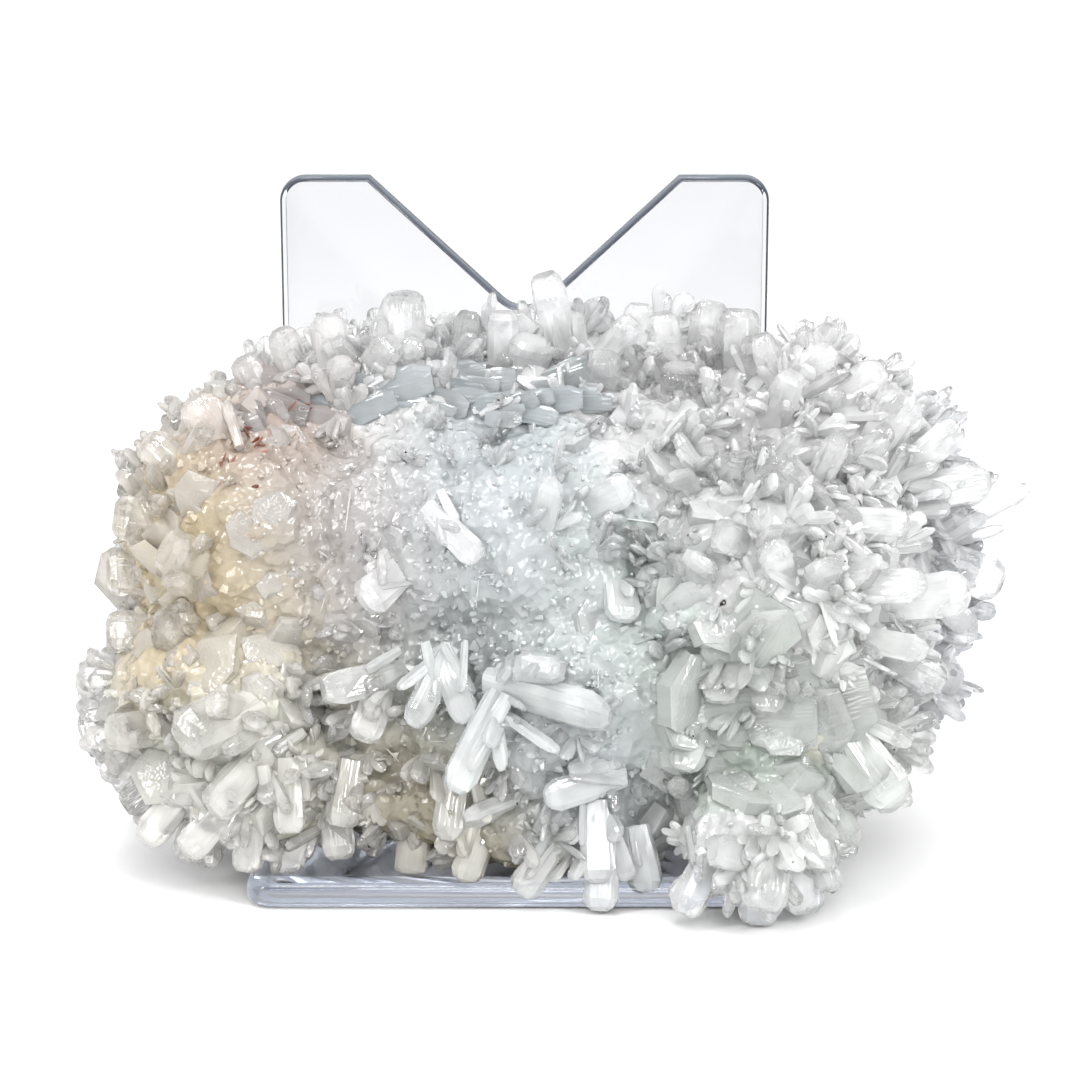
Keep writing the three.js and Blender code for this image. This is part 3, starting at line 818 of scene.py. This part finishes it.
LOWEST_TIP = 0.3  # mm above the table
COMPANIONS = 3  # small crystals at the foot of each large one
COMPANION_TURN = 32  # degrees, how far they turn from it, give or take
CLEAN_CRYSTAL = 0.84  # how light the large crystals are, whatever the colour of the mass
CLEANING = 0.8  # how far they go from the mass's lightness to that


def single_crystals(rows, shape, flatness, clarity, seed):
    """Each row of the table as one large crystal, with small ones grown out of its foot."""
    rng = np.random.default_rng(seed)
    feet, tips, widths, across = [], [], [], []
    for x, z, clock, towards, length, width in rows:
        root = front_point(x, z)
        direction = pointing(clock, towards)
        aside = unit(np.cross(direction, [[0, 1.0, 0]]))[0]
        feet.append(root - direction * ROOTED)
        tips.append(root + direction * length)
        widths.append(width * SLIMMER)
        across.append(aside + rng.normal(0, 0.3, 3))
        for _ in range(COMPANIONS):
            direction = pointing(
                clock + rng.normal(0, COMPANION_TURN), towards + rng.normal(8, 16))
            foot = root + width * rng.uniform(-0.5, 0.5) * aside
            foot[1] -= width * rng.uniform(-0.1, 0.3)
            feet.append(foot - direction * ROOTED)
            tips.append(foot + direction * length * rng.uniform(0.25, 0.7))
            widths.append(width * rng.uniform(0.25, 0.5))
            across.append(rng.normal(size=3))
    feet, tips = np.array(feet), np.array(tips)
    tips[:, 2] = np.maximum(tips[:, 2], LOWEST_TIP)
    widths, across = np.array(widths), np.array(across)
    colours = zone_shares(feet) @ ZONE_COLOURS
    colours *= (CLEAN_CRYSTAL / colours.max(axis=1, keepdims=True)) ** CLEANING
    clear = clarity * clearness_at(feet) * rng.uniform(0.85, 1, len(feet))
    return shape_crystals(
        shape, feet, tips, across, widths, flatness, colours, clear, seed + 1)


single = [
    single_crystals(TOP_CRYSTALS + LEFT_CRYSTALS, PRISM, 0.75, 1.0, 1),
    single_crystals(LOWER_LEFT_CRYSTALS + FOOT_CRYSTALS, PRISM, 0.7, 1.0, 3),
    single_crystals(CENTRE_CRYSTALS, BLADE, 0.55, 0.9, 5),
    single_crystals(LOWER_RIGHT_CRYSTALS + RIGHT_CRYSTALS, BLADE, 0.5, 1.0, 7),
]


# ---- Tabular crystals -------------------------------------------------------------------------
# Broad flat crystals: green-grey ones on the apron, blue-grey ones that make the shelf under
# the crest, a pale yellow face, and narrow ones across the shelf, white as a painted highlight.

GREEN = (0.50, 0.535, 0.50)
PALE_GREEN = (0.62, 0.65, 0.63)
YELLOW = (0.78, 0.78, 0.62)
BLUE = (0.42, 0.46, 0.475)
DUSK = (0.43, 0.38, 0.36)
# Painted highlight: the narrow tablets across the shelf are coloured white to stand in for a bar of
# reflected light there.
SHELF_HIGHLIGHT_WHITE = (0.84, 0.85, 0.86)
TABULAR_CRYSTALS = [  # x, z of its middle, clock, towards, tipped back, length, width, colour
    (27, 35.5, 20, 6, 8, 15, 15, GREEN), (33, 27, 75, 6, 12, 21, 13, GREEN),
    (41, 22.5, 60, 10, -12, 8, 7, YELLOW), (22, 44, 340, 8, 10, 12, 11, PALE_GREEN),
    (37, 37, 120, 10, 14, 10, 9, PALE_GREEN), (25, 27, 200, 14, -6, 10, 8, GREEN),
    (-21, 67, 85, 14, 16, 17, 7, BLUE), (-7, 68, 94, 10, 14, 17, 7, BLUE),
    (6, 67.5, 80, 12, 15, 15, 6, BLUE), (-31, 66, 100, 14, 12, 14, 7, DUSK),
    (-38, 63.5, 60, 16, 12, 9, 6, DUSK), (-14, 65, 100, 20, 18, 12, 5, BLUE),
    # The white rows below are a painted highlight across the shelf.
    (-1, 65.5, 84, 16, 15, 10, 4, BLUE), (-2.5, 70.5, 110, 8, 42, 7, 2, SHELF_HIGHLIGHT_WHITE),
    (-13, 73, 40, 14, 42, 8, 2.6, SHELF_HIGHLIGHT_WHITE), (-10, 73, 305, 12, 42, 8, 2.4, SHELF_HIGHLIGHT_WHITE),
    (-16, 72, 8, 16, 30, 6, 2.4, SHELF_HIGHLIGHT_WHITE), (-13, 67.5, 62, 12, 20, 9, 1.6, SHELF_HIGHLIGHT_WHITE),
    (3, 68.5, 118, 10, 24, 7, 1.5, SHELF_HIGHLIGHT_WHITE), (-22, 68.5, 55, 12, 20, 7, 1.5, SHELF_HIGHLIGHT_WHITE),
    (9, 67, 50, 10, 16, 6, 1.6, SHELF_HIGHLIGHT_WHITE), (-3, 66, 70, 14, 12, 8, 1.4, SHELF_HIGHLIGHT_WHITE),
]
LAYERS = 9  # each broad crystal is a stack of overlapping growth layers
LAYER_STEP = 0.2  # mm, how far each layer lies behind the one before
TOP_LAYER = 0.3  # mm, how far the first is sunk into the surface
LAYER_TURN = 11  # degrees, how far one turns against another, give or take


def tabular_crystals(rows, flatness, seed):
    """Each row as a stack of broad crystals whose flat sides face the viewer."""
    rng = np.random.default_rng(seed)
    feet, tips, across, widths, colours = [], [], [], [], []
    for x, z, clock, towards, tipped, length, width, colour in rows:
        for layer in range(LAYERS):
            middle = front_point(
                x + length * rng.uniform(-0.3, 0.3), z + width * rng.uniform(-0.3, 0.3))
            middle[1] += LAYER_STEP * layer + TOP_LAYER
            direction = pointing(clock + rng.normal(0, LAYER_TURN), towards + rng.normal(0, 2.5))
            aside = unit(np.cross(direction, [[0, 1.0, 0]]))[0]
            aside *= np.sign(aside[2] + 1e-9)
            tip_back = math.radians(tipped + rng.normal(0, 3))
            size = rng.uniform(0.3, 0.8)
            feet.append(middle - direction * length * size / 2)
            tips.append(middle + direction * length * size / 2)
            across.append(aside * math.cos(tip_back) + np.array([0, math.sin(tip_back), 0]))
            widths.append(width * size)
            colours.append(np.array(colour) + rng.normal(0, 0.03))
    return shape_crystals(
        TABLET, np.array(feet), np.array(tips), np.array(across), np.array(widths, float),
        flatness, np.array(colours), rng.uniform(0.5, 0.8, len(feet)), seed, uneven=0.45)


tablets = tabular_crystals(TABULAR_CRYSTALS, 0.17, 13)


# ---- Blocks ---------------------------------------------------------------------------------
# Stout crystals that barely stand out of the mass and share their faces with one another, as
# on the cream shoulder and the green apron.

def scatter(piece, count, seed, wanted):
    """Points spread over a piece, in mm, as thick as wanted, and the way its surface faces."""
    rng = np.random.default_rng(seed)
    mesh = piece.data
    mesh.calc_loop_triangles()
    corners = np.empty(len(mesh.loop_triangles) * 3, int)
    mesh.loop_triangles.foreach_get("vertices", corners)
    a, b, c = points_of(piece)[corners.reshape(-1, 3)].transpose(1, 0, 2)
    normal = np.cross(b - a, c - a)
    area = np.linalg.norm(normal, axis=1)
    chosen = rng.choice(len(area), count, p=area / area.sum())
    u, v = rng.random((2, count))
    flip = u + v > 1
    u, v = np.where(flip, 1 - u, u), np.where(flip, 1 - v, v)
    a, b, c = a[chosen], b[chosen], c[chosen]
    points = a + u[:, None] * (b - a) + v[:, None] * (c - a)
    shares = zone_shares(points)
    keep = rng.random(count) < shares @ ZONE_VALUES[wanted]
    return points[keep], (normal[chosen] / area[chosen, None])[keep], shares[keep]


VISUAL_LOW = np.array(cad_box[0]) / MM - (2, 1.5, 0)
VISUAL_HIGH = np.array(cad_box[1]) / MM + (2, 1.5, 1)
BLOCK_ROOT = 2.5  # mm below the surface


def fits(feet, tips):
    """True for each crystal that stays clear of the stand and inside the specimen's room."""
    ok = ~in_the_way(tips) & ~in_the_way((feet + tips) / 2)
    return ok & (tips > VISUAL_LOW).all(axis=1) & (tips < VISUAL_HIGH).all(axis=1)


def blocky_crystals(count, seed):
    """Blocks all over the mass, most of each one sunk into it."""
    rng = np.random.default_rng(seed)
    roots, _, shares = scatter(mass, count, seed, "blocks")
    number = len(roots)
    direction = unit(smooth_normals(roots) + rng.normal(0, 0.3, (number, 3)))
    width = shares @ ZONE_VALUES["block"] * rng.uniform(0.5, 1.3, number)
    feet = roots - direction * BLOCK_ROOT
    tips = roots + direction * rng.uniform(-0.5, 0.9, number)[:, None]
    keep = fits(feet, tips)
    colours = shares @ ZONE_COLOURS + rng.normal(0, 0.015, (number, 1))
    return shape_crystals(
        BLOCK, feet[keep], tips[keep], rng.normal(size=(number, 3))[keep], width[keep],
        0.8, colours[keep], (clearness_at(roots) * rng.uniform(0.5, 0.8, number))[keep], seed + 1,
        uneven=0.4)


blocks = blocky_crystals(1200, 11)


# ---- Sprays of blades -------------------------------------------------------------------------
# Bundles of blades that fan out from one root, all over the mass. They are long and white on
# the right, stubby on the left and short on the fine-grained face and the back.

SPRAY_ROOT = 1.2  # mm below the surface
SPRAY_FLATNESS = 0.5  # how thick a blade is, next to its width
NARROWEST_FAN, WIDEST_FAN = 15, 50  # degrees, to each side


def spray_crystals(shape, sprays, blades, size, clarity, seed):
    """Sprays of so many blades each. Size is their size next to the zones' values."""
    rng = np.random.default_rng(seed)
    roots, _, shares = scatter(mass, sprays, seed, "sprays")
    number = len(roots)
    normals = smooth_normals(roots)
    lengths = shares @ ZONE_VALUES["blade length"] * size
    widths = shares @ ZONE_VALUES["blade width"] * size
    lean = unit(normals + rng.normal(0, 0.35, (number, 3)))
    fan = rng.normal(size=(number, 3))
    fan = unit(fan - lean * (fan * lean).sum(axis=1, keepdims=True))
    spread = np.radians(rng.uniform(NARROWEST_FAN, WIDEST_FAN, number))
    feet, tips, across, wide, colours = [], [], [], [], []
    for i in range(blades):
        angle = (2 * i / (blades - 1) - 1) * spread + rng.normal(0, 0.12, number)
        direction = lean * np.cos(angle)[:, None] + fan * np.sin(angle)[:, None]
        direction = unit(direction + rng.normal(0, 0.14, (number, 3)))
        length = lengths * rng.uniform(0.5, 1.15, number)
        width = widths * rng.uniform(0.6, 1.15, number)
        foot = roots + fan * (np.sin(angle) * width * 0.6)[:, None] - direction * SPRAY_ROOT
        feet.append(foot)
        tips.append(foot + direction * (length + SPRAY_ROOT)[:, None])
        across.append(fan + rng.normal(0, 0.5, (number, 3)))
        wide.append(width)
        colours.append(shares @ ZONE_COLOURS + rng.normal(0.01, 0.012, (number, 1)))
    feet, tips, across = (np.concatenate(part) for part in (feet, tips, across))
    wide, colours = np.concatenate(wide), np.concatenate(colours)
    keep = fits(feet, tips)
    clear = clarity * np.tile(clearness_at(roots), blades) * rng.uniform(0.7, 1.15, len(feet))
    return shape_crystals(
        shape, feet[keep], tips[keep], across[keep], wide[keep], SPRAY_FLATNESS,
        colours[keep], clear[keep], seed + 1)


sprays = [
    spray_crystals(SPRAY_BLADE, 600, 5, 1.0, 0.85, 21),
    spray_crystals(SMALL_BLADE, 700, 4, 0.55, 0.6, 31),
]
STRETCHES = [  # name, and from where to where across the specimen, mm
    ("left_crystals", -80, -34),
    ("middle_left_crystals", -34, -3),
    ("middle_right_crystals", -3, 30),
    ("right_crystals", 30, 80),
]
crystal = clear_crystal()
for stretch_name, from_x, to_x in STRETCHES:
    grown = fuse_crystals(stretch_name, single + [tablets, blocks] + sprays, from_x, to_x)
    finish_crystals(grown, crystal)


# ---- Sugar grains -------------------------------------------------------------------------
# A crust of tiny stubby crystals of the same mineral. They grew last, on the mass between the
# blades, and sparkle in the light.

GRAIN_HEIGHT = 0.42  # next to its width
GRAIN_ROOT = 0.3  # mm below the surface


def sugar_crust(count, size, seed):
    """Grains all over the mass. Size is their width next to the zones' values."""
    rng = np.random.default_rng(seed)
    feet, normals, shares = scatter(mass, count, seed, "grains")
    number = len(feet)
    width = shares @ ZONE_VALUES["grain"] * rng.uniform(0.55, 1.3, number) * size
    direction = unit(0.6 * normals + 0.6 * smooth_normals(feet) + rng.normal(0, 0.35, (number, 3)))
    tips = feet + direction * width[:, None] * GRAIN_HEIGHT
    feet = feet - direction * GRAIN_ROOT
    keep = fits(feet, tips)
    colours = np.minimum(shares @ ZONE_COLOURS, WHITEST_GRAIN)
    colours = colours + rng.normal(0.015, 0.015, (number, 1))
    clear = rng.uniform(0.0, 0.3, number)
    return shape_crystals(
        GRAIN, feet[keep], tips[keep], rng.normal(size=(number, 3))[keep], width[keep],
        0.8, colours[keep], clear[keep], seed + 1)


def sugar_grain():
    """Glossy mineral in its own colour."""
    material, shader, nodes, links = new_material("sugar_grain", 0.12)
    tint = read_attribute(nodes, "tint")
    links.new(tint.outputs["Color"], shader.inputs["Base Color"])
    shader.inputs["IOR"].default_value = MINERAL_IOR
    return material


grain_gloss = sugar_grain()
finish_crystals(join_crystals("sugar_crust", sugar_crust(9000, 1.2, 41)), grain_gloss)


# ---- Hair lines ---------------------------------------------------------------------------
# Thin white needles of the same mineral. They lie flat on the fine-grained face and are grown
# into the sugar along their length.

HAIR_WIDTH = 0.25  # mm
HAIR_LIGHTER = 0.07  # how much lighter they are than the sugar


def hair_lines(count, seed):
    """Needles that lie along the surface."""
    rng = np.random.default_rng(seed)
    roots, _, shares = scatter(mass, count, seed, "grains")
    number = len(roots)
    normals = smooth_normals(roots)
    direction = rng.normal(size=(number, 3))
    direction = unit(direction - normals * (direction * normals).sum(axis=1, keepdims=True))
    half = direction * rng.uniform(1.0, 3.0, (number, 1))
    lift = normals * rng.uniform(0.0, 0.5, (number, 1))
    feet, tips = roots - half + lift, roots + half + lift
    keep = fits(feet, tips)
    return shape_crystals(
        SMALL_BLADE, feet[keep], tips[keep], rng.normal(size=(number, 3))[keep],
        np.full(keep.sum(), HAIR_WIDTH), 0.8, (shares @ ZONE_COLOURS + HAIR_LIGHTER)[keep],
        np.full(keep.sum(), 0.2), seed + 1)


finish_crystals(join_crystals("hair_lines", hair_lines(220, 51)), grain_gloss)


# ---- Specks -------------------------------------------------------------------------------
# Dark grains of other minerals on the tips of the crystals, and thin rusty flakes of iron oxide
# on the plum edge. Both are stuck to the crystals that they sit on.

BLACK = (0.14, 0.11, 0.09)
RUST = (0.47, 0.30, 0.25)
BLACK_GRAIN = (26.4, 42.6)  # x, z of the one large dark grain, mm
BLACK_GRAIN_WIDTH = 0.8  # mm
RUSTY_FLAKES = [  # x, z in mm, and clock
    (-38.5, 63, 150), (-37, 61, 60), (-32, 65, 80), (-40.5, 58.5, 20), (-38, 55.5, 100),
]
FLAKE_SLIVERS = 4
FLAKE_LIFT = 0.6  # mm above the surface


def mineral_specks(count, seed):
    """Small dark grains on the blades, the large one, and the flakes in slivers."""
    rng = np.random.default_rng(seed)
    outer = np.concatenate([
        crystals["points"][:, -2] for crystals in [blocks] + sprays]) / MM
    outer = outer[outer[:, 1] < MIDDLE[1]]
    spots = list(rng.choice(outer, count, replace=False))
    feet = spots + [front_point(*BLACK_GRAIN) + (0, -1.5, 0)]
    tips = [spot + rng.normal(0, 0.22, 3) for spot in spots] + [feet[-1] + (0.7, -0.3, 0.5)]
    widths = list(rng.uniform(0.12, 0.34, count)) + [BLACK_GRAIN_WIDTH]
    colours = [BLACK] * (count + 1)
    for x, z, clock in RUSTY_FLAKES:
        for _ in range(FLAKE_SLIVERS):
            foot = front_point(x + rng.normal(0, 0.5), z + rng.normal(0, 0.5)) + (0, -FLAKE_LIFT, 0)
            feet.append(foot)
            tips.append(foot + pointing(clock + rng.normal(0, 20), 5) * rng.uniform(0.8, 2.2))
            widths.append(rng.uniform(0.25, 0.6))
            colours.append(np.array(RUST) + rng.normal(0, 0.04))
    number = len(feet)
    return shape_crystals(
        SMALL_BLADE, np.array(feet), np.array(tips), rng.normal(size=(number, 3)),
        np.array(widths), 0.6, np.array(colours), np.zeros(number), seed + 1)


finish_crystals(join_crystals("mineral_specks", mineral_specks(170, 61)), grain_gloss)
